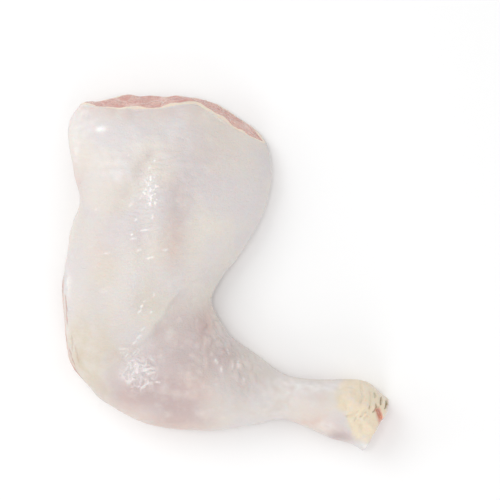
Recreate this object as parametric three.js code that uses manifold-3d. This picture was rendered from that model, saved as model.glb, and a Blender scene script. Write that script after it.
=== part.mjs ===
// A raw chicken leg quarter, lying skin side up on its flat underside.
// A broad thigh comes down from the cut hip end, turns at the knee into the drumstick, and narrows
// to the shank, which flares again into the cut hock. Millimetres, +Z up, +Y towards the hip end.

import * as THREE from "three";
import { mergeVertices } from "three/addons/utils/BufferGeometryUtils.js";
import Module from "manifold-3d";

// Cross-sections from the hip end to the hock. Each spans from the outer edge, which runs down the
// thigh and round the knee, to the inner edge, which runs down into the crook and along the drumstick.
// top is the height of the skin above the table there, and base is the underside before it is flattened.
const SECTIONS = [
  { place: "hip end", outer: [-79.6, 93], inner: [12, 89], top: 20, base: -2 },
  { place: "hip corner", outer: [-80.2, 69], inner: [24, 63], top: 26.5, base: -2 },
  { place: "upper thigh", outer: [-76.7, 49], inner: [25, 43], top: 31, base: -2 },
  { place: "thigh hollow", outer: [-73.9, 35.5], inner: [20.5, 27], top: 33.5, base: -2 },
  { place: "middle thigh", outer: [-78.2, 21], inner: [12.5, 13], top: 34.8, base: -2 },
  { place: "below the middle", outer: [-81, 8], inner: [5.2, 3.2], top: 35.3, base: -2 },
  { place: "lower thigh", outer: [-85.3, -5.5], inner: [-3, -6.5], top: 35.5, base: -2 },
  { place: "above the knee", outer: [-84.1, -33], inner: [-7, -16.4], top: 35, base: -2 },
  { place: "outside of the knee", outer: [-80.2, -51], inner: [-5.7, -20.5], top: 34.5, base: -2 },
  { place: "knee", outer: [-67.4, -64.8], inner: [-3.4, -24.8], top: 35, base: -2 },
  { place: "top of the calf", outer: [-38, -79.8], inner: [2.4, -33.9], top: 36, base: -2 },
  { place: "calf", outer: [-9, -83.9], inner: [9.4, -40], top: 34, base: -2 },
  { place: "lower calf", outer: [13.3, -81.4], inner: [21.4, -48], top: 28.5, base: -0.5 },
  { place: "shank", outer: [30.4, -77.9], inner: [35, -56.3], top: 23.5, base: 2.5 },
  { place: "above the hock", outer: [43.4, -82.5], inner: [48.1, -57.7], top: 25, base: 1.5 },
  { place: "hock", outer: [56, -88.4], inner: [62.1, -58.2], top: 28, base: -1 },
  { place: "knuckle", outer: [67.2, -91.2], inner: [74.6, -59.4], top: 28, base: -1.2 },
  { place: "hock end", outer: [78.2, -99.3], inner: [90.2, -72.2], top: 24, base: -0.8 },
];

// How full the cross-section is: 2 is an ellipse, and more is squarer.
const DOME_FULLNESS = 2.15;
const UNDERSIDE_FULLNESS = 2.8;
const WIDEST_SHARE = 0.4; // height of the widest line, as a share of the height there
const CREST_LEAN = 0.16; // how far the crest leans to the outer edge, as a share of half the width

// The ends round off over these lengths along the leg before the knife cuts them.
const HIP_ROUNDING = { length: 22, fullness: 2.6 };
const HOCK_ROUNDING = { length: 8, fullness: 2.6 };

// The knife cuts, each through a point, facing away from the leg. The hip took two strokes.
const HIP_CUT = { through: [-34, 89, 9], facing: [-0.04, 0.92, 0.39] };
const INNER_HIP_CUT = { through: [3.5, 79, 9], facing: [0.5, 0.8, 0.33] };
const HOCK_CUT = { through: [80.2, -80.4, 14], facing: [0.88, -0.46, -0.02] };

// The split in the hock's skin at the cut, where the flesh shows.
const HOCK_SPLIT = { edge: [79.7, -73.3, 14], depth: 12, widening: 0.15, height: 18, heading: -73 };

// Furrows and swellings of the muscles under the skin: each follows a line, and fades over its width.
const FURROWS = [
  { place: "between thigh and calf", from: [-14, -14], to: [-58, -52], rise: -2.4, width: 9 },
  { place: "down the upper thigh", from: [-33, 68], to: [-49, 33], rise: -1.7, width: 6.5 },
  { place: "crest of the thigh", from: [-34, 30], to: [-46, -18], rise: 1.6, width: 9 },
  { place: "kneecap", from: [-56, -50], to: [-46, -60], rise: 1.8, width: 7 },
  { place: "calf muscle", from: [-26, -58], to: [6, -64], rise: 1.4, width: 9 },
  { place: "under the calf", from: [-30, -36], to: [0, -52], rise: -1.1, width: 5 },
  { place: "round the shank", from: [37, -52], to: [31, -82], rise: -1.1, width: 3 },
  { place: "knuckle of the hock", from: [66, -66], to: [74, -68], rise: 1.6, width: 6 },
  { place: "heel of the hock", from: [64, -88], to: [70, -92], rise: 1.4, width: 6 },
];

// Where the skin stops short of the outer edge, a tongue of flesh sticks out under it.
const LEDGE = {
  line: { from: [-86, -8], to: [-74, -56], width: 12 },
  depth: 3.6,
  underside: 8, // height where the skin starts to draw in
  topside: 12, // height where it is drawn in fully
  sharpness: 3, // how soon the step fades away from the edge
};

// Pleats where the skin gathers in the crook behind the knee.
const PLEATS = { centre: [-12, -8], reach: 42, count: 34, height: 0.7, nearEdge: 13 };

// Facets round a cross-section and along the leg.
const AROUND = 52;
const ALONG = 108;
const END_CROWDING = 0.45; // 0 spaces the cross-sections evenly, and more crowds them at the ends
const PACE_INSET = 0.2; // 0 is the outer edge and 1 the inner one

const SKIN_COLOUR = 0xe0d6d0;

const at = ([x, y]) => new THREE.Vector3(x, y, 0);
const signedPower = (value, power) => Math.sign(value) * Math.abs(value) ** power;
const rounding = (distance, { length, fullness }) =>
  distance >= length ? 1 : (1 - (1 - distance / length) ** fullness) ** (1 / fullness);

const curveThrough = (pick) => new THREE.CatmullRomCurve3(SECTIONS.map(pick));
const outerEdge = curveThrough((s) => at(s.outer));
const innerEdge = curveThrough((s) => at(s.inner));
const spine = curveThrough((s) => at(s.outer).lerp(at(s.inner), 0.5));
const heights = curveThrough((s) => new THREE.Vector3(s.top, s.base, 0));

// The facets are spaced along a line near the outer edge, which is the longer way round the knee.
const pace = curveThrough((s) => at(s.outer).lerp(at(s.inner), PACE_INSET));
pace.arcLengthDivisions = 600;

// How near a point in plan lies to a line, from 1 on it to 0 well away from it.
function nearness(point, { from, to, width }) {
  const line = new THREE.Line3(at(from), at(to));
  const closest = line.closestPointToPoint(point, true, new THREE.Vector3());
  return Math.exp(-((closest.distanceTo(point) / width) ** 2));
}

// Rise of the skin at a point in plan, from the muscles and the pleats.
function relief(point, distanceToInnerEdge) {
  const muscles = FURROWS.reduce((sum, f) => sum + f.rise * nearness(point, f), 0);
  const arm = point.clone().sub(at(PLEATS.centre));
  const fade = Math.exp(-((distanceToInnerEdge / PLEATS.nearEdge) ** 2));
  const inReach = THREE.MathUtils.smoothstep(PLEATS.reach - arm.length(), 0, PLEATS.reach / 2);
  const wave = Math.cos(Math.atan2(arm.y, arm.x) * PLEATS.count);
  return muscles + PLEATS.height * wave * fade * inReach;
}

// A point of the surface, along the leg from 0 at the hip to 1 at the hock, and round it from 0 to 1.
function surfacePoint(along, around) {
  const share = along - (END_CROWDING * Math.sin(2 * Math.PI * along)) / (2 * Math.PI);
  const length = pace.getLength();
  const t = pace.getUtoTmapping(share);
  const end =
    rounding(share * length, HIP_ROUNDING) * rounding((1 - share) * length, HOCK_ROUNDING);
  const middle = spine.getPoint(t);
  const outer = outerEdge.getPoint(t);
  const across = innerEdge.getPoint(t).sub(outer);
  const { x: top, y: base } = heights.getPoint(t);
  const widest = base + WIDEST_SHARE * (top - base);

  const turn = -2 * Math.PI * around;
  const upper = Math.sin(turn) >= 0;
  const power = 2 / (upper ? DOME_FULLNESS : UNDERSIDE_FULLNESS);
  const lift = Math.abs(Math.sin(turn)) ** power;
  const lean = upper ? CREST_LEAN * lift : 0;
  const side = signedPower(Math.cos(turn), power) - lean;

  const point = middle.clone().addScaledVector(across, (side / 2) * end);
  const onDome = upper ? lift * end : 0;
  const toInnerEdge = ((1 - side) / 2) * across.length();
  point.z = widest + (upper ? top - widest : base - widest) * lift * end;
  point.z += relief(point.clone().setZ(0), toInnerEdge) * onDome;

  const drawnIn =
    LEDGE.depth *
    nearness(outer, LEDGE.line) *
    THREE.MathUtils.smoothstep(point.z, LEDGE.underside, LEDGE.topside) *
    Math.max(0, -side) ** LEDGE.sharpness;
  return point.addScaledVector(across.normalize(), drawnIn);
}

// A ball's grid of facets, moved onto the leg's surface.
function legGeometry() {
  const ball = new THREE.SphereGeometry(1, AROUND, ALONG);
  const { position, uv } = ball.attributes;
  for (let i = 0; i < position.count; i++) {
    const around = (Math.round(uv.getX(i) * AROUND) % AROUND) / AROUND;
    const atPole = uv.getY(i) === 0 || uv.getY(i) === 1;
    const point = surfacePoint(1 - uv.getY(i), atPole ? 0.25 : around);
    position.setXYZ(i, point.x, point.y, point.z);
  }
  return ball;
}

const wasm = await Module();
wasm.setup();

function toSolid(geometry) {
  const bare = geometry.clone();
  bare.deleteAttribute("normal");
  bare.deleteAttribute("uv");
  const merged = mergeVertices(bare, 1e-3);
  return new wasm.Manifold(
    new wasm.Mesh({
      numProp: 3,
      vertProperties: merged.attributes.position.array,
      triVerts: new Uint32Array(merged.index.array),
    }),
  );
}

function toGeometry(solid) {
  const { vertProperties, triVerts } = solid.getMesh();
  const geometry = new THREE.BufferGeometry();
  geometry.setAttribute("position", new THREE.BufferAttribute(vertProperties, 3));
  geometry.setIndex(new THREE.BufferAttribute(triVerts, 1));
  geometry.computeVertexNormals();
  return geometry;
}

// Everything on the far side of a knife cut, as one large block.
function beyond({ through, facing }) {
  const size = 500;
  const turn = new THREE.Quaternion().setFromUnitVectors(
    new THREE.Vector3(0, 0, 1),
    new THREE.Vector3(...facing).normalize(),
  );
  const block = new THREE.BoxGeometry(size, size, size).translate(0, 0, size / 2);
  return toSolid(block.applyQuaternion(turn).translate(...through));
}

// The wedge that opens the hock at the cut: a three-sided prism standing with one edge inside the flesh.
function hockSplit() {
  const { edge, depth, widening, height, heading } = HOCK_SPLIT;
  const outline = new THREE.Shape([
    new THREE.Vector2(0, 0),
    new THREE.Vector2(depth, -depth * widening),
    new THREE.Vector2(depth, depth * widening),
  ]);
  const wedge = new THREE.ExtrudeGeometry(outline, { depth: height, bevelEnabled: false });
  return toSolid(wedge.rotateZ(THREE.MathUtils.degToRad(heading)).translate(...edge));
}

const floor = { through: [0, 0, 0], facing: [0, 0, -1] };
const leg = toSolid(legGeometry())
  .subtract(beyond(HIP_CUT))
  .subtract(beyond(INNER_HIP_CUT))
  .subtract(beyond(HOCK_CUT))
  .subtract(hockSplit())
  .subtract(beyond(floor));

// The origin is under the middle of the leg, on the table.
const geometry = toGeometry(leg);
geometry.computeBoundingBox();
const centre = geometry.boundingBox.getCenter(new THREE.Vector3());
geometry.translate(-centre.x, -centre.y, -geometry.boundingBox.min.z);

const legQuarter = new THREE.Mesh(
  geometry,
  new THREE.MeshStandardMaterial({ color: SKIN_COLOUR, roughness: 0.38, metalness: 0 }),
);
legQuarter.name = "leg_quarter";

const part = new THREE.Group();
part.name = "raw_chicken_leg_quarter";
part.add(legQuarter);

export default part;
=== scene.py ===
import bmesh
import bpy
import numpy as np
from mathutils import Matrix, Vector, kdtree, noise


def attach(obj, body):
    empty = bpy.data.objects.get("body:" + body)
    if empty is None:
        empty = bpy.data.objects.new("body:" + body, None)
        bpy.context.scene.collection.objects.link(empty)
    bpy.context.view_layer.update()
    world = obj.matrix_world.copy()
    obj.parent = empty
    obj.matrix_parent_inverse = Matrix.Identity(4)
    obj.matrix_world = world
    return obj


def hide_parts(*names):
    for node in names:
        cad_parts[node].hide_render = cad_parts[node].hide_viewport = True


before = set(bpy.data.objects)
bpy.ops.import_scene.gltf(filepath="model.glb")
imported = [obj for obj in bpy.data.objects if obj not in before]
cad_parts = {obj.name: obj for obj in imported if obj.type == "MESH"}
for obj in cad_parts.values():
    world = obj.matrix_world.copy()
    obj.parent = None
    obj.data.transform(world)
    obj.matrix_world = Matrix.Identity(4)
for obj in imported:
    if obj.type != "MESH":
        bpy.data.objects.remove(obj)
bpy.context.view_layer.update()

MM = 0.001

# The camera looks straight down, as the photograph does, from far enough to keep the sides upright.
# The field is what 500 pixels span at the height of the leg's outline.
CAMERA_HEIGHT = 900
OUTLINE_HEIGHT = 15
FIELD = 260
PHOTO_CENTRE = (13.25, 12)  # the middle of the photograph, from the middle of the leg

camera_data = bpy.data.cameras.new("camera")
camera_data.lens = camera_data.sensor_width * (CAMERA_HEIGHT - OUTLINE_HEIGHT) / FIELD
camera = bpy.data.objects.new("camera", camera_data)
camera.location = Vector((*PHOTO_CENTRE, CAMERA_HEIGHT)) * MM
bpy.context.scene.collection.objects.link(camera)
bpy.context.scene.camera = camera
bpy.context.scene.view_settings.view_transform = "Standard"

# Soft white panels light the table: a wide one up to the left, low ones to the left, in front and to
# the right, and a small one overhead that gives the wet skin its glints. The room fills in the rest.
PANELS = {
    "key_panel": {"at": (-480, 400, 760), "size": 620, "watts": 2.4},
    "left_panel": {"at": (-760, 20, 340), "size": 420, "watts": 0.85},
    "front_panel": {"at": (80, -760, 340), "size": 420, "watts": 1.2},
    "right_panel": {"at": (700, -200, 420), "size": 600, "watts": 0.7},
    "glint_panel": {"at": (-110, 70, 980), "size": 100, "watts": 0.9},
}
ROOM_BRIGHTNESS = 0.7

for name, panel in PANELS.items():
    light = bpy.data.lights.new(name, "AREA")
    light.size = panel["size"] * MM
    light.energy = panel["watts"]
    lamp = bpy.data.objects.new(name, light)
    lamp.location = Vector(panel["at"]) * MM
    lamp.rotation_euler = (-lamp.location).to_track_quat("-Z", "Y").to_euler()
    bpy.context.scene.collection.objects.link(lamp)

room = bpy.data.worlds.new("room")
room.use_nodes = True
room.node_tree.nodes["Background"].inputs["Color"].default_value = (1, 1, 1, 1)
room.node_tree.nodes["Background"].inputs["Strength"].default_value = ROOM_BRIGHTNESS
bpy.context.scene.world = room

# The leg lies on a plain pale board, wide enough to fill every view. The board is there only for the
# picture.
TABLE_SIZE = 4000
TABLE_SHADE = 0.93


def new_material(name, colour, roughness):
    """A material with a Principled shader, and the shader and its node tree."""
    material = bpy.data.materials.new(name)
    material.use_nodes = True
    shader = material.node_tree.nodes["Principled BSDF"]
    shader.inputs["Base Color"].default_value = colour
    shader.inputs["Roughness"].default_value = roughness
    return material, shader, material.node_tree


def finished(name, shape, material):
    """Makes an object at the origin from a bmesh, smooth shaded."""
    mesh = bpy.data.meshes.new(name)
    shape.to_mesh(mesh)
    shape.free()
    mesh.materials.append(material)
    mesh.shade_smooth()
    piece = bpy.data.objects.new(name, mesh)
    bpy.context.scene.collection.objects.link(piece)
    return piece


board = bmesh.new()
bmesh.ops.create_grid(board, size=TABLE_SIZE * MM / 2)
table_white = new_material("table_white", (TABLE_SHADE, TABLE_SHADE, TABLE_SHADE, 1), 0.7)[0]
table = finished("table", board, table_white)

# The leg is one piece of meat: flesh round the thigh and shin bones, in a loose moist skin with fat
# under it. It was cut across the hip and through the hock, so flesh shows there, and it lies on its
# inner side, where its own weight presses it flat. Places on it are in millimetres from its middle.
VOXEL = 0.97
WELD = 0.01
HIP_CUTS_FACING = [(-0.04, 0.92, 0.39), (0.5, 0.8, 0.33)]
HOCK_CUT_FACING = (0.88, -0.46, -0.02)
NOTCH = [(79.2, -70.8), (80.3, -74.4), (81.4, -78)]
CRUMPLE = (-42.8, -51.1)
CREST = [(-36.2, 56.6), (-39.7, 39.6), (-43.2, 17.6), (-42.2, -10.4), (-42.2, -20.4)]
TORN_MARGIN = [(-81.7, -10.4), (-81.2, -37.4), (-76.7, -49.4)]


def places_and_normals(shape):
    """Where the vertices are, in millimetres, and which way they face."""
    shape.normal_update()
    places = np.array([v.co for v in shape.verts]) / MM
    return places, np.array([v.normal for v in shape.verts])


def smooth(shape, verts, factor):
    """Moves vertices towards the middle of their neighbours, by a share of the way."""
    bmesh.ops.smooth_vert(
        shape, verts=verts, factor=factor, use_axis_x=True, use_axis_y=True, use_axis_z=True
    )


def push(shape, distances):
    """Moves each vertex out along its normal, in millimetres."""
    shape.normal_update()
    for vertex, distance in zip(shape.verts, distances):
        vertex.co += vertex.normal * float(distance) * MM


def shift(shape, way, distances):
    """Moves each vertex one way, by its own distance in millimetres."""
    for vertex, distance in zip(shape.verts, distances):
        vertex.co += Vector(way) * float(distance) * MM


def near(places, at, reach):
    """1 at a place in plan, fading to 0 past its reach, which may differ along x and y."""
    return np.exp(-(((places[:, :2] - at) / reach) ** 2).sum(axis=1))


def hump(distance, half_width):
    """1 where the distance is 0, fading to 0 past the half width."""
    return np.exp(-((distance / half_width) ** 2))


def rise(values, low, high):
    """0 below low, 1 above high, and a soft step between. High may be the lower, for a fall."""
    t = np.clip((values - low) / (high - low), 0, 1)
    return t * t * (3 - 2 * t)


def beside(places, line):
    """The distance in plan from a bent line, positive on its left, and the share of the way along it."""
    line = np.array(line, float)
    best = np.full(len(places), np.inf)
    signed = np.zeros(len(places))
    along = np.zeros(len(places))
    steps = len(line) - 1
    for i, (start, end) in enumerate(zip(line[:-1], line[1:])):
        run = end - start
        from_start = places[:, :2] - start
        t = np.clip(from_start @ run / (run @ run), 0, 1)
        gap = np.linalg.norm(from_start - t[:, None] * run, axis=1)
        side = np.sign(run[0] * from_start[:, 1] - run[1] * from_start[:, 0])
        closer = gap < best
        best[closer] = gap[closer]
        signed[closer] = (gap * side)[closer]
        along[closer] = ((i + t) / steps)[closer]
    return signed, along


def ridge(places, line, width):
    """1 along a bent line in plan, fading to 0 at its sides and past its ends."""
    return hump(beside(places, line)[0], width)


def tapering(places, line, width):
    """As ridge, but narrowing to nothing at the ends of the line."""
    gap, along = beside(places, line)
    return hump(gap, width * (0.25 + np.sqrt(along * (1 - along)) * 1.5))


def lumps(places, size, seed):
    """Soft lumps of that size in millimetres, from about -1 to 1."""
    return np.array([noise.noise(p) for p in places / size + seed])


def creases(places, heading, length, width, seed):
    """Wrinkles that run along a heading in plan, in degrees: 1 on a ridge and 0 in a crease."""
    turn = np.radians(heading)
    along = np.cos(turn) * places[:, 0] + np.sin(turn) * places[:, 1]
    across = np.cos(turn) * places[:, 1] - np.sin(turn) * places[:, 0]
    stretched = np.stack([along / length, across / width, places[:, 2] / width], axis=1)
    return np.minimum(np.abs(lumps(stretched, 1, seed)) * 2, 1)


def cells(places, size, seed):
    """How far each place is from the middle of its cell, and from the cell's border, in cell sizes."""
    found = [noise.voronoi(p)[0] for p in places / size + seed]
    return np.array([d[0] for d in found]), np.array([d[1] - d[0] for d in found])


def wandered(places, size, by, seed):
    """The places shifted about unevenly, so that patterns on them don't look ruled."""
    return places + by * np.stack([lumps(places, size, seed + k) for k in (0, 3.3, 7.1)], axis=1)


# A vertex belongs to a cut's flat where it lies close under it and faces the same way. Both fade in.
UNDER_CUT = (2.6, 1.2)
FACING_CUT = (0.55, 0.8)


def cut_face(places, normals, cuts_facing):
    """1 on the flats that knife cuts left, and 0 elsewhere."""
    faces = []
    for facing in cuts_facing:
        facing = np.array(facing) / np.linalg.norm(facing)
        depth = (places @ facing).max() - places @ facing
        faces.append(rise(depth, *UNDER_CUT) * rise(normals @ facing, *FACING_CUT))
    return np.max(faces, axis=0)


def distance_from_skin(places, face):
    """How far each vertex of a cut face is from the skin round it, and 0 for the rest."""
    outside = np.flatnonzero(face < 0.5)
    tree = kdtree.KDTree(len(outside))
    for i, index in enumerate(outside):
        tree.insert(places[index], i)
    tree.balance()
    distance = np.zeros(len(places))
    for index in np.flatnonzero(face >= 0.5):
        distance[index] = tree.find(places[index])[2]
    return distance


raw_skin, skin_shader, skin_tree = new_material("raw_skin", (0.7, 0.64, 0.6, 1), 0.4)

facets = bmesh.new()
facets.from_mesh(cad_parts["leg_quarter"].data)
bmesh.ops.remove_doubles(facets, verts=facets.verts, dist=WELD * MM)
leg = finished("raw_leg_quarter", facets, raw_skin)

remesh = leg.modifiers.new("even_mesh", "REMESH")
remesh.mode = "VOXEL"
remesh.voxel_size = VOXEL * MM
leg_evaluated = leg.evaluated_get(bpy.context.evaluated_depsgraph_get())
shape = bmesh.new()
shape.from_mesh(leg_evaluated.to_mesh())
leg.modifiers.clear()

# The facets of the solid are smoothed away, but the knife's notch in the hock stays crisp. What a
# first smoothing shrinks is given back by how much a second one shrinks it again.
EVENING_ROUNDS = 12
EVENING = 0.5
NOTCH_SPARED = 4.5
places, _ = places_and_normals(shape)
off_notch = np.abs(beside(places, NOTCH)[0]) > NOTCH_SPARED
facetless = [vertex for vertex, off in zip(shape.verts, off_notch) if off]
for _ in range(EVENING_ROUNDS):
    smooth(shape, facetless, EVENING)
smoothed_once = [vertex.co.copy() for vertex in facetless]
for _ in range(EVENING_ROUNDS):
    smooth(shape, facetless, EVENING)
for vertex, once in zip(facetless, smoothed_once):
    vertex.co = 2 * once - vertex.co
smooth(shape, shape.verts, EVENING)

# The mesh is twice as fine where the relief is: the cuts, the hock, the crumpled skin of the knee, the
# crest of the thigh and the torn margin.
HOCK_STARTS = 62
FINE_ROUND_CRUMPLE = 12.5
WITHIN_REACH = 0.37  # what near gives at its reach
FINE_BANDS = [(CREST, 6), (TORN_MARGIN, 3.5)]  # line, half width
places, normals = places_and_normals(shape)
facing_up = normals[:, 2] > 0
fine = cut_face(places, normals, HIP_CUTS_FACING) > 0.3
fine |= places[:, 0] > HOCK_STARTS
fine |= (near(places, CRUMPLE, FINE_ROUND_CRUMPLE) > WITHIN_REACH) & facing_up
for line, half_width in FINE_BANDS:
    fine |= (np.abs(beside(places, line)[0]) < half_width) & facing_up
edges = [e for e in shape.edges if fine[e.verts[0].index] and fine[e.verts[1].index]]
bmesh.ops.subdivide_edges(shape, edges=edges, cuts=1, use_grid_fill=True)
shape.verts.index_update()
shape.verts.ensure_lookup_table()

# Muscles and fat swell the skin unevenly, and a shallow valley runs down the upper thigh.
SWELLS = [(26, 0.8, 3.1), (12, 0.36, 8.4), (6, 0.1, 5.7)]  # size, height, seed
VALLEY = [(-34.5, 64.5), (-38.7, 60.4), (-42.6, 54.6), (-44.9, 48.4), (-48.6, 42.7), (-52.7, 38)]
VALLEY_DIP = {"depth": 0.5, "half_width": 3.6}
VALLEY_BANK = {"height": 0.35, "half_width": 4, "off": 7}
places, normals = places_and_normals(shape)
swell = sum(height * lumps(places, size, seed) for size, height, seed in SWELLS)
gap, along = beside(places, VALLEY)
valley = -VALLEY_DIP["depth"] * hump(gap, VALLEY_DIP["half_width"])
valley += VALLEY_BANK["height"] * hump(gap - VALLEY_BANK["off"], VALLEY_BANK["half_width"])
on_top = rise(normals[:, 2], -0.1, 0.5)
valley *= rise(along, 0, 0.35) * rise(along, 1, 0.5) * on_top
push(shape, swell * rise(places[:, 2], 0.5, 6) + valley)

# The knife left the cuts a little uneven. Inside the edge of the skin lies a ring of fat, and inside
# that the muscles, in bundles with pale membranes between. At the hock two knobs of gristle stand out.
SKIN_THICKNESS = 1.2
FAT_THICKNESS = 1.2
FAT_VARIES = 1.3
CUT_WAVE = 1.5
FLESH_SINK = 0.9
MUSCLE_SIZE = 12
MUSCLE_SWELL = 1.6
BUNDLE_SIZE = 4.2
BUNDLE_SWELL = 0.5
GRISTLE_HEIGHT = 1.2
GRISTLE_KNOBS = [((79.5, -74, 15.5), 5.5), ((76, -86, 12), 4.5)]  # middle, reach
places, normals = places_and_normals(shape)
hip_face = cut_face(places, normals, HIP_CUTS_FACING)
hip_in = distance_from_skin(places, hip_face)
hock_in = distance_from_skin(places, cut_face(places, normals, [HOCK_CUT_FACING]))
inward = hip_in + hock_in
muscle_border = cells(wandered(places, 9, 4, 1.9), MUSCLE_SIZE, 2.3)[1]
bundle_border = cells(wandered(places, 5, 1.5, 8.2), BUNDLE_SIZE, 4.6)[1]
fat_edge = SKIN_THICKNESS + FAT_THICKNESS + FAT_VARIES * lumps(places, 7, 6.2)
flesh = rise(inward, fat_edge, fat_edge + 0.6)
cut_fat = rise(inward, SKIN_THICKNESS * 0.5, SKIN_THICKNESS) * (1 - flesh)
membrane = flesh * np.maximum(rise(muscle_border, 0.12, 0.03), 0.4 * rise(bundle_border, 0.12, 0.04))
knob = sum(
    np.exp(-(np.linalg.norm(places - at, axis=1) / reach) ** 4) for at, reach in GRISTLE_KNOBS
)
gristle = np.minimum(knob, 1) * rise(hock_in, 0.6, 1.4)
cut_height = CUT_WAVE * lumps(places, 15, 7.7) * rise(hip_in, 0, 0.4)
cut_height += (flesh + 0.5 * cut_fat) * (MUSCLE_SWELL * np.minimum(muscle_border, 0.3) - FLESH_SINK)
cut_height += flesh * BUNDLE_SWELL * np.minimum(bundle_border, 0.4) + GRISTLE_HEIGHT * gristle
push(shape, cut_height)

# The skin shrank back from the hip's cut by more in one place than in the next.
SHRUNK_REACH = 22
SHRUNK_WAVES = [(19, 2.4, 3.4), (7, 0.8, 1.2)]  # size, how far, seed
hip_way = np.array(HIP_CUTS_FACING[0]) / np.linalg.norm(HIP_CUTS_FACING[0])
from_hip = (places @ hip_way).max() - places @ hip_way
shrunk = sum(distance * lumps(places, size, seed) for size, distance, seed in SHRUNK_WAVES)
shift(shape, hip_way, rise(from_hip, SHRUNK_REACH, 0) * shrunk)

# Evening the mesh rounded the corners of the hip and the hock, so they are drawn out again. The waist
# of the thigh, the crook, and the shank beside the hock are drawn in a little.
PULLS = [  # middle, reach, way, how far
    ((85, -69.5), 6, (1, 0.15, 0), 1.5), ((83, -64), 4, (-0.5, -0.85, 0), 0.8),
    ((78.5, -82.5), 3.5, (-0.88, 0.46, 0), 0.5), ((-74.5, 87.3), 6, (-0.55, 0.8, 0), 1.4),
    ((-75.1, 35.9), 6, (1, 0, 0), 0.4), ((-81.3, 12), 6, (1, 0, 0), 0.6),
    ((27, -50.4), 6, (-0.4, -0.9, 0), 0.9), ((41, -55), 7, (0, -1, 0), 0.6),
]
places, _ = places_and_normals(shape)
for at, reach, way, distance in PULLS:
    shift(shape, way, distance * near(places, at, reach))

# The loose skin of the thigh laps softly over the calf behind the knee, with a slight hollow under its
# lip.
LAP = [
    (-11.4, -8.5), (-19.4, -8), (-25.7, -12.4), (-29.3, -17.1), (-31.4, -21.2), (-35, -25.4),
    (-37.6, -30.5), (-40.7, -34.8), (-43.9, -38.5), (-49.1, -41), (-53.4, -44.1),
]
LIP = {"height": 0.75, "length": 10}
UNDER_LIP = {"depth": 0.15, "half_width": 1.8}
places, normals = places_and_normals(shape)
from_lap, along = beside(places, LAP)
from_lap = -from_lap + 1.1 * lumps(places, 7, 4.4)
lapping = rise(along, 0.02, 0.25) * rise(along, 1, 0.75) * on_top
lip = LIP["height"] * hump(np.maximum(from_lap, 0), LIP["length"]) * rise(from_lap, -1.4, 1.0)
under_lip = UNDER_LIP["depth"] * hump(from_lap + UNDER_LIP["half_width"], UNDER_LIP["half_width"])
push(shape, lapping * (lip - under_lip))

# Crumpled skin over the kneecap, pleats where the skin gathers behind the knee, fine slack wrinkles
# across the thigh, and low folds round the sides, where the skin sags towards the table.
CRUMPLE_REACH = (11, 10)
CRUMPLE_HEIGHT = 0.7
PLEATS = {"line": [(-7.2, -27.4), (-0.2, -40.4), (11.8, -52.4)], "reach": 9, "height": 1.5}
SLACK = {"at": (-25, 34.1), "reach": (20, 40), "height": 0.8}
FINE_WRINKLE_HEIGHT = 0.16
FOLD_SIZE = (22, 22, 5.5)
CRINKLES = (35, 5.2, 3.4, 6.1)  # heading, length, width, seed, here and below
CROSS_CRINKLES = (120, 4, 2.7, 9.1)
PLEAT_LINES = (-80, 9, 3.4, 5.2)
SLACK_LINES = (6, 11, 2.7, 7.7)
FINE_WRINKLES = (12, 6, 2.8, 1.4)
places, normals = places_and_normals(shape)
warped = wandered(places, 5, 2.4, 1.1)
crumple = rise(near(wandered(places, 8, 3.5, 3.3), CRUMPLE, CRUMPLE_REACH), 0.3, 0.6) * on_top
broken = rise(lumps(places, 2.4, 7.9), -0.2, 0.1)
crinkles = (1 - creases(warped, *CRINKLES)) ** 2 * broken
crinkles += 0.8 * (1 - creases(warped, *CROSS_CRINKLES)) ** 2 * (1 - broken)
pleated = ridge(places, PLEATS["line"], PLEATS["reach"]) * on_top
pleats = creases(wandered(places, 7, 1.6, 2.2), *PLEAT_LINES)
slack = near(places, SLACK["at"], SLACK["reach"]) * on_top
slack_lines = creases(wandered(places, 9, 1.5, 5.4), *SLACK_LINES)
everywhere = FINE_WRINKLE_HEIGHT * creases(warped, *FINE_WRINKLES)
everywhere *= rise(places[:, 2], 1, 5) * (inward == 0)
sagging = rise(places[:, 2], 1, 4) * rise(places[:, 2], 17, 9)
sagging *= rise(normals[:, 2], 0.6, 0.2) * (inward == 0)
folds = np.abs(lumps(wandered(places, 16, 3, 9.6) / FOLD_SIZE, 1, 4.8))
wrinkles = CRUMPLE_HEIGHT * crumple * (crinkles - 0.4) + PLEATS["height"] * pleated * (pleats - 0.5)
wrinkles += SLACK["height"] * slack * (slack_lines - 0.5) + everywhere
push(shape, wrinkles + sagging * (folds - 0.3))

# Feathers grew from small soft swellings all over the skin. They are clearest on the calf, where some
# stand out.
FOLLICLE_SPACING = 4.6
FOLLICLE_SIZE = 1.05
FOLLICLE_HEIGHT = 0.12
CALF_FOLLICLE_HEIGHT = 0.23
SWOLLEN_HEIGHT = 0.4
CALF = {"at": (-11, -48.4), "reach": (34, 24)}
SWOLLEN_FOLLICLES = [  # middle, reach
    ((-31.9, -41.6), 1.6), ((-8.2, -34.1), 2.4), ((-13.7, -36.9), 1.3), ((-4.5, -45.2), 1.5),
    ((7.4, -46.8), 1.8), ((10.2, -55.1), 1.3), ((-17.4, -50.4), 1.6), ((-34, -48.3), 1.4),
    ((-27.8, -71.2), 1.6), ((-22.6, -23.4), 1.4), ((-10.1, -57.2), 1.4),
]
places, normals = places_and_normals(shape)
from_follicle = cells(wandered(places, 14, 2, 4.1), FOLLICLE_SPACING, 3.9)[0] * FOLLICLE_SPACING
follicle = hump(from_follicle, FOLLICLE_SIZE) * (1 - crumple) * (inward == 0)
swollen = sum(near(places, at, reach) for at, reach in SWOLLEN_FOLLICLES) * on_top
calf = near(places, CALF["at"], CALF["reach"])
follicle_height = follicle * (FOLLICLE_HEIGHT + CALF_FOLLICLE_HEIGHT * calf)
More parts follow.
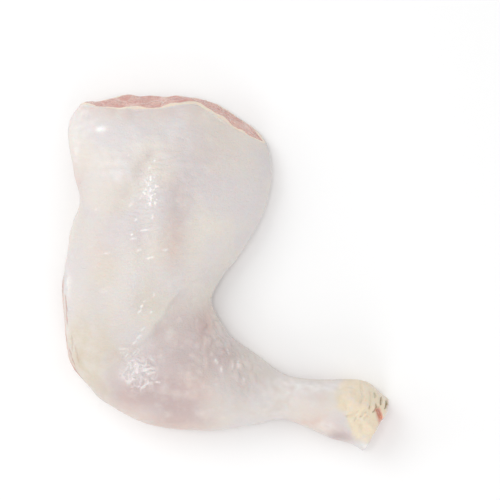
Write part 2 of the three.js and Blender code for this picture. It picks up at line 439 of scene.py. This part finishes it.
push(shape, follicle_height * rise(places[:, 2], 1, 5) + SWOLLEN_HEIGHT * swollen)

# Glints: small raised dashes where the wet skin catches the light, thickest beside the valley. They
# are also laid near white into the skin's colour below, as painted highlights.
GLINTS = [  # middle, length, heading, strength
    ((-35.6, 57.8), 1.2, 20, 0.9), ((-38.2, 54.1), 1.2, 30, 0.9), ((-48.6, 60.9), 1.4, 0, 0.7),
    ((-44.9, 27.3), 1.3, 60, 1), ((-65.3, 32.8), 1.2, 0, 0.7), ((-46.8, 19.8), 1.2, 40, 1),
    ((-47.3, 35.4), 3, 50, 0.7), ((-40.4, 22.1), 4.4, 8, 0.8), ((-46, 17.8), 3.2, 4, 0.65),
    ((-43.2, 12), 2.6, 10, 0.8), ((-37.5, 8), 3.8, 10, 1), ((-36.3, 28.9), 2.4, 85, 0.8),
    ((-29.9, 12), 3, 3, 0.5), ((-59.8, 10.4), 3.4, 4, 0.5), ((-61.3, -8.8), 3.4, -4, 0.4),
    ((-41.8, -16.6), 2, 60, 1), ((-42.9, -19.2), 2.2, 40, 1), ((-37.1, -19.6), 1.4, 60, 0.8),
    ((-35.7, -10.9), 2, 75, 0.7), ((-40.3, -14), 1.4, 20, 0.7), ((-50.7, -38.3), 6.5, -3, 0.4),
    ((-51.2, -40.6), 4, -8, 0.35), ((-48.8, -40.8), 5.5, 52, 0.45), ((-45.4, -40), 5, 48, 0.4),
    ((-43, -39.1), 7, 52, 0.35), ((-45.7, -35.2), 3, 45, 0.55), ((-43.2, -32.1), 2.6, 42, 0.7),
    ((-41.4, -28.4), 2.2, 30, 0.5), ((4.2, -46.5), 4, -86, 0.4), ((10.2, -54), 2, -60, 0.45),
    ((-33.5, -55.1), 2.4, -10, 0.8), ((-3.9, -44.7), 3, -70, 0.6), ((-1.3, -48.8), 3, -75, 0.5),
    ((1.9, -40), 3, -65, 0.4), ((7.1, -46.2), 2.6, -75, 0.5), ((-6.5, -41), 2.4, -70, 0.4),
]
GLINT_WIDTH = 0.45
GLINT_HEIGHT = 0.14
THICKEST = {"at": (-38, 41), "reach": (4.6, 10)}
places, normals = places_and_normals(shape)
specks = rise(lumps(places * (1, 0.7, 1), 1.2, 3.7), 0.1, 0.4)
thickest = near(wandered(places, 4, 2.5, 9.3), THICKEST["at"], THICKEST["reach"])
glint = 0.9 * specks * rise(thickest, 0.3, 0.6)
unbroken = 0.55 + 0.45 * rise(lumps(places, 1.3, 2.6), -0.25, 0.1)
for at, length, heading, strength in GLINTS:
    turn = np.radians(heading)
    way = np.array([np.cos(turn), np.sin(turn)])
    along = (places[:, :2] - at) @ way
    across = (places[:, :2] - at) @ (-way[1], way[0])
    dash = np.exp(-((across / GLINT_WIDTH) ** 2) - (2 * along / length) ** 4)
    glint = np.maximum(glint, strength * dash * unbroken)
glint *= on_top
push(shape, GLINT_HEIGHT * glint)

# The skin's torn margin shows as creases low on the outer side of the thigh, over a strip of flesh.
MARGIN_CREASES = [  # line, half width, how red
    ([(-82.3, -11.4), (-81.5, -15), (-81.2, -19.2), (-81.4, -23.4), (-81, -26.5)], 0.45, 0.8),
    ([(-80.6, -38.4), (-79.8, -41.6), (-78.5, -45.2), (-76.7, -49.1)], 0.75, 1),
    ([(-78.7, -31.7), (-78, -35.8), (-78.2, -40)], 0.4, 0.25),
    ([(-76.7, -37.4), (-75.4, -41.6), (-74.8, -45.7)], 0.4, 0.25),
]
FLESH_STRIP = [(-86.4, -8), (-83.5, -30), (-76.4, -51)]
bent = wandered(places, 3, 0.5, 5.5)
flesh_strip = ridge(places, FLESH_STRIP, 6) * rise(places[:, 2], 13, 10) * rise(places[:, 2], 2.5, 6)
margin_folds = [(tapering(bent, line, width), red) for line, width, red in MARGIN_CREASES]
margin_fold = np.minimum(sum(fold for fold, red in margin_folds), 1) * rise(normals[:, 2], 0, 0.3)
margin = np.minimum(sum(fold * red for fold, red in margin_folds), 1)
margin *= rise(normals[:, 2], 0.1, 0.45) * rise(places[:, 2], 9, 12)

# The hock has thicker skin in fine scales, with cross creases, small openings over its tendons, and
# the notch that the knife left.
HOCK_SKIN_EDGE = [
    (61.7, -53.5), (60.8, -55.6), (57.5, -60.3), (56.8, -64.4), (57.5, -68.6), (60.1, -71.2),
    (62.2, -73.8), (63.7, -77.4), (65.3, -81.6), (67.1, -85.8), (71.5, -87.1), (76.7, -86.8),
]
HOCK_CREASES = [  # line, half width
    ([(62.4, -73.3), (65.3, -72.8), (67.4, -71.7), (68.9, -70.2)], 0.8),
    ([(67, -75.4), (68.3, -73.1)], 0.6),
    ([(71.2, -56.4), (70.8, -59.8), (71.4, -62.9), (70, -66.3)], 0.8),
    ([(75.3, -61.3), (75.9, -65.5), (74.7, -69.4)], 0.7),
    ([(70, -73.5), (71.5, -71.7), (73.4, -70.9)], 0.6),
    ([(71.5, -74.8), (73.6, -73.3)], 0.6),
    ([(62.2, -63.9), (62.7, -68.1), (61.9, -70.7)], 0.7),
]
HOCK_KNOBS = [  # middle, reach, height
    ((64.8, -61.6), 2.2, 0.7), ((67.4, -65.5), 2.4, 0.4), ((72.3, -68.1), 2.2, 0.4),
    ((70.8, -78.3), 1.2, -0.5), ((73.6, -59.8), 2.2, 0.35), ((65.3, -69.1), 1.6, 0.35),
    ((74.7, -78.5), 2.4, 0.4), ((68.9, -82.6), 2.6, 0.35),
]
TENDON_OPENINGS = [  # line, half width, how dark
    ([(77.7, -61.7), (77.9, -64.4)], 0.7, 0.55),
    ([(81.9, -64.3), (81.4, -66), (80.6, -68)], 0.5, 0.9),
    ([(84.2, -66.3), (84.5, -68), (83, -70.2)], 0.65, 1),
    ([(78.2, -67.1), (78.8, -68.7), (77.5, -70.5), (76.5, -71.4)], 0.5, 0.8),
    ([(74.9, -67.9), (74.6, -69.6)], 0.5, 0.4),
    ([(79.9, -68.6), (79.3, -70.2)], 0.4, 0.4),
]
SCALE_SIZE = 2.3
SCALE_HEIGHT = 0.45
HOCK_LUMP = {"size": 4.5, "height": 0.9}
KNOB_HEIGHT = 1.3
MARGIN_DEPTH = 0.6
CREASE_DEPTH = 0.8
OPENING_DEPTH = 0.8
NOTCH_HALF_WIDTH = 1.15
NOTCH_DEPTH = 2.6
off_edge = beside(places, HOCK_SKIN_EDGE)[0] + 1.3 * lumps(places, 5, 8.8)
hock_skin = rise(off_edge, -1.6, 2.2) * rise(places[:, 0], 48, 56)
scale = np.minimum(cells(warped, SCALE_SIZE, 6.6)[1], 0.45)
knobbly = sum(height * near(places, at, reach) for at, reach, height in HOCK_KNOBS)
bent = wandered(places, 2.2, 0.35, 2.8)
openings = [(tapering(bent, line, width), dark) for line, width, dark in TENDON_OPENINGS]
opening = np.minimum(sum(shade * dark for shade, dark in openings), 1) * (normals[:, 2] > 0)
hock_creases = np.minimum(sum(tapering(bent, line, width) for line, width in HOCK_CREASES), 1) * on_top
notched = ridge(bent, NOTCH, NOTCH_HALF_WIDTH) * rise(places[:, 2], 12, 22)
hock_relief = SCALE_HEIGHT * scale - 0.1 + HOCK_LUMP["height"] * lumps(places, HOCK_LUMP["size"], 3.6)
hock_relief += KNOB_HEIGHT * knobbly
furrows = MARGIN_DEPTH * margin_fold + CREASE_DEPTH * hock_creases + OPENING_DEPTH * opening
push(shape, hock_skin * on_top * hock_relief - furrows)
shift(shape, (0, 0, -1), NOTCH_DEPTH * notched)

# A last light smoothing takes off what is sharper than skin. Nothing reaches below the table.
LAST_EVENING = 0.3
smooth(shape, shape.verts, LAST_EVENING)
for vertex in shape.verts:
    vertex.co.z = max(vertex.co.z, 0)
places, normals = places_and_normals(shape)

shape.to_mesh(leg.data)
shape.free()
leg.data.shade_smooth()


# Where each tint shows is kept on the mesh for the material: purple where the muscle lies close under
# thin skin, cream where there is fat, a pink blush, and the parts that aren't plain skin. Some purple,
# cream and blush patches are painted shade, and the glint and sheen tints are painted highlights.
def tint(name, amounts):
    """Keeps an amount from 0 to 1 for each vertex of the leg."""
    kept = leg.data.attributes.new(name, "FLOAT", "POINT")
    kept.data.foreach_set("value", np.clip(amounts, 0, 1).astype(np.float32))


def patches(spots):
    """Soft patches of one tint: where each is, how far it reaches, and how strong it is."""
    return np.clip(sum(strength * near(places, at, reach) for at, reach, strength in spots), 0, 1)


MUSCLE_AND_SHADE_PATCHES = [  # middle, reach along x and y, and strength, as in the lists below
    # On the calf.
    ((-22.1, -27), (13, 14), 0.5),
    ((-34, -30), (5, 5), 0.35),
    # The next patch is painted shade under the lip of the thigh's skin.
    ((-38, -44), (6, 5), 0.4),
    ((-10, -46), (6, 7), 0.25),
    ((-23.1, -46.2), (18, 14), 0.65),
    ((-33.5, -61.8), (22, 9), 0.8),
    ((-32, -58.5), (7, 5), 0.4),
    ((-48, -62.5), (9, 6), 0.5),
    ((-56, -53.5), (5, 7), 0.3),
    ((-22.1, -72.2), (12, 9), 0.9),
    ((-15, -57), (6, 6), 0.35),
    ((-9, -75), (7, 4), 0.35),
    # The next patch is painted shade along the calf's lower edge.
    ((-30, -77), (10, 4), 0.3),
    # Behind the knee; the first patch is painted shade along the crook's edge.
    ((-9.7, -27.4), (6, 9), 0.6),
    ((-0.2, -41), (9, 9), 0.6),
    ((10.7, -55.6), (9, 9), 0.4),
    # On the thigh.
    ((-24.1, 26.6), (7, 24), 0.5),
    # The next five patches are painted shade along the crest and in the valley of the upper thigh.
    ((-43, 17), (5, 15), 0.25),
    ((-38.7, 60.9), (3.2, 3.2), 0.5),
    ((-42.1, 55.7), (2.6, 4), 0.3),
    ((-44.4, 48.4), (2.2, 5), 0.25),
    ((-50.1, 41.1), (4, 3), 0.15),
    ((-27.3, 45.3), (6, 6), 0.15),
    ((-7.5, 64), (18, 22), 0.3),
    ((-55.3, 30.2), (9, 26), 0.15),
    # Beside the hock.
    ((59.5, -84), (8, 4), 1),
]
PAINTED_FOLD_SHADE_PATCHES = [
    # Painted shade in the fold above the kneecap.
    ((-56, -43.5), (9, 4.5), 0.3),
    ((-47, -38), (5, 3), 0.3),
]
FAT_AND_SHADE_PATCHES = [
    # On the knee.
    ((-66.3, -33.8), (12, 17), 0.75),
    ((-77, -37), (7, 11), 0.4),
    # The next patch is painted shade under the lip of the thigh's skin.
    ((-49, -39.5), (7, 4), 0.3),
    ((-62, -61), (8, 6), 0.5),
    ((-70.7, -49.4), (10, 9), 0.7),
    # On the thigh.
    ((-61.2, 1.6), (9, 12), 0.3),
    ((-31, -5), (7, 7), 0.3),
    ((-37.7, -14), (10, 9), 0.4),
    ((-75.6, 28.6), (6, 26), 0.2),
    # On the calf and the shank.
    ((20, -70), (9, 5), 0.4),
    ((10.7, -41), (8, 7), 0.4),
    ((21.6, -54), (8, 5), 0.4),
    ((-0.2, -66), (13, 7), 0.35),
    ((30.5, -67), (12, 10), 0.15),
]
BLUSH_AND_SHADE_PATCHES = [
    # On the thigh.
    ((-75.6, 49.4), (4, 11), 0.5),
    ((-27.3, 13), (4.5, 10), 0.6),
    ((-63.7, 12), (5, 14), 0.3),
    # Behind the knee; the first patch is painted shade along the crook's edge.
    ((-8.2, -25.4), (4, 7), 0.5),
    ((12.8, -32.2), (7, 3), 0.5),
    # On the calf.
    ((-48.2, -63.4), (11, 6), 0.35),
    ((-53.3, -72.2), (14, 7), 0.5),
    ((-21.5, -80), (24, 6), 0.5),
    # The next patch is deeper pink as painted shade along the calf's lower edge.
    ((-33, -77), (12, 5), 0.8),
    ((-14.8, -58.2), (12, 10), 0.35),
    ((-15, -56), (7, 5), 0.15),
    # On the shank and the hock.
    ((33, -62), (9, 7), 0.3),
    ((46, -77), (13, 4.5), 0.75),
    ((48.3, -66.4), (7, 6), 0.45),
    ((76.5, -89.9), (4, 3), 0.2),
]
WET_SPOTS = [
    ((-38.7, 42.7), (4, 13), 0.9),
    ((-43.9, 13.6), (5, 16), 0.45),
    ((-63.9, 74.4), (3.5, 2), 1),
    ((-41.8, -18.2), (4, 2.5), 1),
    ((-42.9, -31.2), (2.5, 2.5), 0.9),
    ((-49.6, -40.5), (5, 3), 0.7),
    ((0.8, -43.4), (9, 12), 0.5),
    ((-79.8, -5.7), (4, 5), 0.3),
]
# Painted sheen and highlights: near-white patches where light catches the skin.
PAINTED_SHEEN_PATCHES = [
    # On the thigh.
    ((-63.9, 74.4), (3, 1.6), 0.75),
    ((-73.7, 79.6), (7, 9), 0.4),
    ((-77.2, 64), (3, 10), 0.25),
    ((-43, 65), (6, 6), 0.25),
    ((-60.2, 56.6), (10, 10), 0.22),
    ((-52.7, 51), (5, 5), 0.25),
    ((-38, 41.5), (3.2, 7.5), 0.4),
    ((-31, -5), (8, 7), 0.15),
    ((-79.9, -5.2), (2, 5.5), 0.5),
    ((-82.4, -30.1), (1.6, 2), 0.5),
    # On the calf, the shank and the hock.
    ((20, -70), (9, 5), 0.2),
    ((32, -64), (10, 8), 0.15),
    ((44, -57.5), (20, 5), 0.5),
    ((52.3, -78.3), (4, 2.5), 0.3),
    ((72.6, -89.9), (5, 3), 0.45),
]
past_lip = rise(from_lap, -2, 1.5) * rise(places[:, 1], 8, -10)
# Low on the sides the skin is pinker: partly its own colour, partly painted light reflected from below.
low_blush_and_reflection = rise(places[:, 2], 14, 5) * rise(normals[:, 2], 0.8, 0.1)
hip_blush = 0.5 * rise(from_hip, 10, 1) * (inward == 0)
tint("muscle", patches(MUSCLE_AND_SHADE_PATCHES) * (1 - past_lip) + patches(PAINTED_FOLD_SHADE_PATCHES))
tint("fat", patches(FAT_AND_SHADE_PATCHES))
tint("blush", patches(BLUSH_AND_SHADE_PATCHES) + 0.5 * low_blush_and_reflection + hip_blush + flesh_strip)
tint("wet", np.maximum(0.8 * crumple + patches(WET_SPOTS), glint))
# The glints and sheen patches become the painted highlights, on surfaces facing up.
uneven = rise(normals[:, 2], 0.1, 0.6) * (0.7 + 0.8 * lumps(places, 3, 6.6))
tint("glint", np.maximum(glint, patches(PAINTED_SHEEN_PATCHES) * uneven))
tint("crumple", crumple * (0.05 + 0.85 * crinkles))
tint("hock_skin", hock_skin * (inward == 0))
tint("follicle", follicle * (0.1 + 0.3 * calf) + 0.4 * swollen)
tint("opening", opening)
tint("margin", margin + 0.5 * flesh_strip * rise(lumps(places / (7, 7, 2.2), 1, 8.1), -0.3, 0.4))
tint("cut_fat", cut_fat)
tint("flesh", np.maximum(flesh, np.minimum(1.4 * notched, 1)))
tint("raw_notch", np.minimum(1.4 * notched, 1))
tint("membrane", membrane)
tint("gristle", gristle)


def srgb(red, green, blue):
    """A colour as a screen shows it, from 0 to 255, as the shader's linear colour."""
    shown = np.array([red, green, blue]) / 255
    linear = np.where(shown <= 0.04045, shown / 12.92, ((shown + 0.055) / 1.055) ** 2.4)
    return (*linear, 1)


# The purple, cream and blush tones also lay painted shade where their patches say so.
SKIN_TONE = srgb(220, 213, 205)
COOL_TONE = srgb(214, 208, 207)
MUSCLE_TONE = srgb(191, 173, 171)
FAT_TONE = srgb(208, 196, 178)
BLUSH_TONE = srgb(214, 190, 181)
HOCK_TONE = srgb(227, 213, 189)
FOLLICLE_TONE = srgb(228, 217, 211)
OPENING_TONE = srgb(150, 128, 88)
MARGIN_TONE = srgb(184, 138, 124)
CUT_FAT_TONE = srgb(232, 218, 200)
FLESH_TONE = srgb(204, 150, 142)
FLESH_PALE_TONE = srgb(218, 176, 164)
NOTCH_TONE = srgb(222, 160, 135)
MEMBRANE_TONE = srgb(228, 200, 192)
GRISTLE_TONE = srgb(230, 214, 204)
PALE_CRUMPLE_HIGHLIGHT_TONE = srgb(236, 230, 229)
PAINTED_HIGHLIGHT_TONE = srgb(250, 248, 247)


def add_node(kind, values, **settings):
    """A node of the skin's material, with its inputs given as values or as other nodes' outputs."""
    made = skin_tree.nodes.new(kind)
    for name, value in settings.items():
        setattr(made, name, value)
    for key, value in values.items():
        if isinstance(value, bpy.types.NodeSocket):
            skin_tree.links.new(value, made.inputs[key])
        else:
            made.inputs[key].default_value = value
    return made


def amount(name):
    """How much of a tint the mesh keeps at each place."""
    return add_node("ShaderNodeAttribute", {}, attribute_name=name).outputs["Fac"]


def mapped(value, taken, given):
    """A value from one range moved to another."""
    ends = {"Value": value, "From Min": taken[0], "From Max": taken[1]}
    ends |= {"To Min": given[0], "To Max": given[1]}
    return add_node("ShaderNodeMapRange", ends).outputs["Result"]


def mottle(size, low, high, detail=3):
    """Uneven patches of that size in millimetres, from 0 to 1."""
    inputs = {"Vector": where, "Scale": 1 / (size * MM), "Detail": detail}
    texture = add_node("ShaderNodeTexNoise", inputs).outputs["Fac"]
    return mapped(texture, (low, high), (0, 1))


def combined(operation, one, other):
    """Two values added, multiplied, or the larger of them."""
    return add_node("ShaderNodeMath", {0: one, 1: other}, operation=operation).outputs[0]


def laid_over(under, colour, share):
    """A colour with another laid over it, by a share from 0 to 1."""
    return add_node("ShaderNodeMix", {0: share, 6: under, 7: colour}, data_type="RGBA").outputs[2]


where = add_node("ShaderNodeTexCoord", {}).outputs["Object"]
colour = laid_over(SKIN_TONE, COOL_TONE, mottle(28, 0.4, 0.62, 2))
for name, tone, size, low, high in [
    ("fat", FAT_TONE, 9, 0.2, 0.55),
    ("muscle", MUSCLE_TONE, 8, 0.1, 0.5),
    ("blush", BLUSH_TONE, 6, 0.15, 0.65),
    ("hock_skin", HOCK_TONE, 4, 0.15, 0.5),
]:
    share = combined("MULTIPLY", amount(name), mottle(size, low, high))
    colour = laid_over(colour, tone, share)
# The crumpled patch is a little paler, and much paler on its ridge tops as a painted highlight.
colour = laid_over(colour, PALE_CRUMPLE_HIGHLIGHT_TONE, amount("crumple"))
colour = laid_over(colour, FOLLICLE_TONE, combined("MULTIPLY", amount("follicle"), 0.7))
colour = laid_over(colour, MARGIN_TONE, amount("margin"))
colour = laid_over(colour, OPENING_TONE, amount("opening"))
colour = laid_over(colour, CUT_FAT_TONE, amount("cut_fat"))
flesh_colour = laid_over(FLESH_TONE, FLESH_PALE_TONE, mottle(9, 0.35, 0.65))
colour = laid_over(colour, flesh_colour, amount("flesh"))
notch_colour = laid_over(NOTCH_TONE, FLESH_PALE_TONE, mottle(2.5, 0.5, 0.7))
colour = laid_over(colour, notch_colour, amount("raw_notch"))
colour = laid_over(colour, MEMBRANE_TONE, combined("MULTIPLY", amount("membrane"), 0.7))
colour = laid_over(colour, GRISTLE_TONE, amount("gristle"))
# Painted highlights: the glints and the sheen patches, laid near white over everything.
colour = laid_over(colour, PAINTED_HIGHLIGHT_TONE, amount("glint"))
skin_tree.links.new(colour, skin_shader.inputs["Base Color"])

# The skin is moist, and wet where it glints. Its pores and net of fine lines are too small for the mesh.
MOIST_ROUGHNESS = 0.5
WET_ROUGHNESS = 0.16
NET_SIZE = 1.5
LINE_SIZE = 2.6
LINE_STRETCH = (1, 2.2, 2.2)
BUMP_HEIGHT = 0.5
SUBSURFACE_DEPTH = 2
wet = combined("MAXIMUM", amount("wet"), amount("flesh"))
roughness = mapped(wet, (0, 1), (MOIST_ROUGHNESS, WET_ROUGHNESS))
skin_tree.links.new(roughness, skin_shader.inputs["Roughness"])
skin_shader.inputs["Subsurface Weight"].default_value = 0.35
skin_shader.inputs["Subsurface Radius"].default_value = (1.0, 0.45, 0.3)
skin_shader.inputs["Subsurface Scale"].default_value = SUBSURFACE_DEPTH * MM
skin_shader.inputs["Coat Weight"].default_value = 0.15
skin_shader.inputs["Coat Roughness"].default_value = 0.12

net = add_node(
    "ShaderNodeTexVoronoi", {"Vector": where, "Scale": 1 / (NET_SIZE * MM)}, feature="DISTANCE_TO_EDGE"
).outputs["Distance"]
stretching = add_node("ShaderNodeVectorMath", {0: where, 1: LINE_STRETCH}, operation="MULTIPLY")
line_inputs = {"Vector": stretching.outputs[0], "Scale": 1 / (LINE_SIZE * MM), "Detail": 2}
fine_lines = add_node("ShaderNodeTexNoise", line_inputs).outputs["Fac"]
fine_height = combined("ADD", mapped(net, (0, 0.25), (0, 0.25)), fine_lines)
bump_strength = mapped(wet, (0, 1), (0.45, 1))
bump_inputs = {"Height": fine_height, "Distance": BUMP_HEIGHT * MM, "Strength": bump_strength}
bump = add_node("ShaderNodeBump", bump_inputs)
skin_tree.links.new(bump.outputs["Normal"], skin_shader.inputs["Normal"])
skin_tree.links.new(bump.outputs["Normal"], skin_shader.inputs["Coat Normal"])

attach(leg, "root")
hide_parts("leg_quarter")
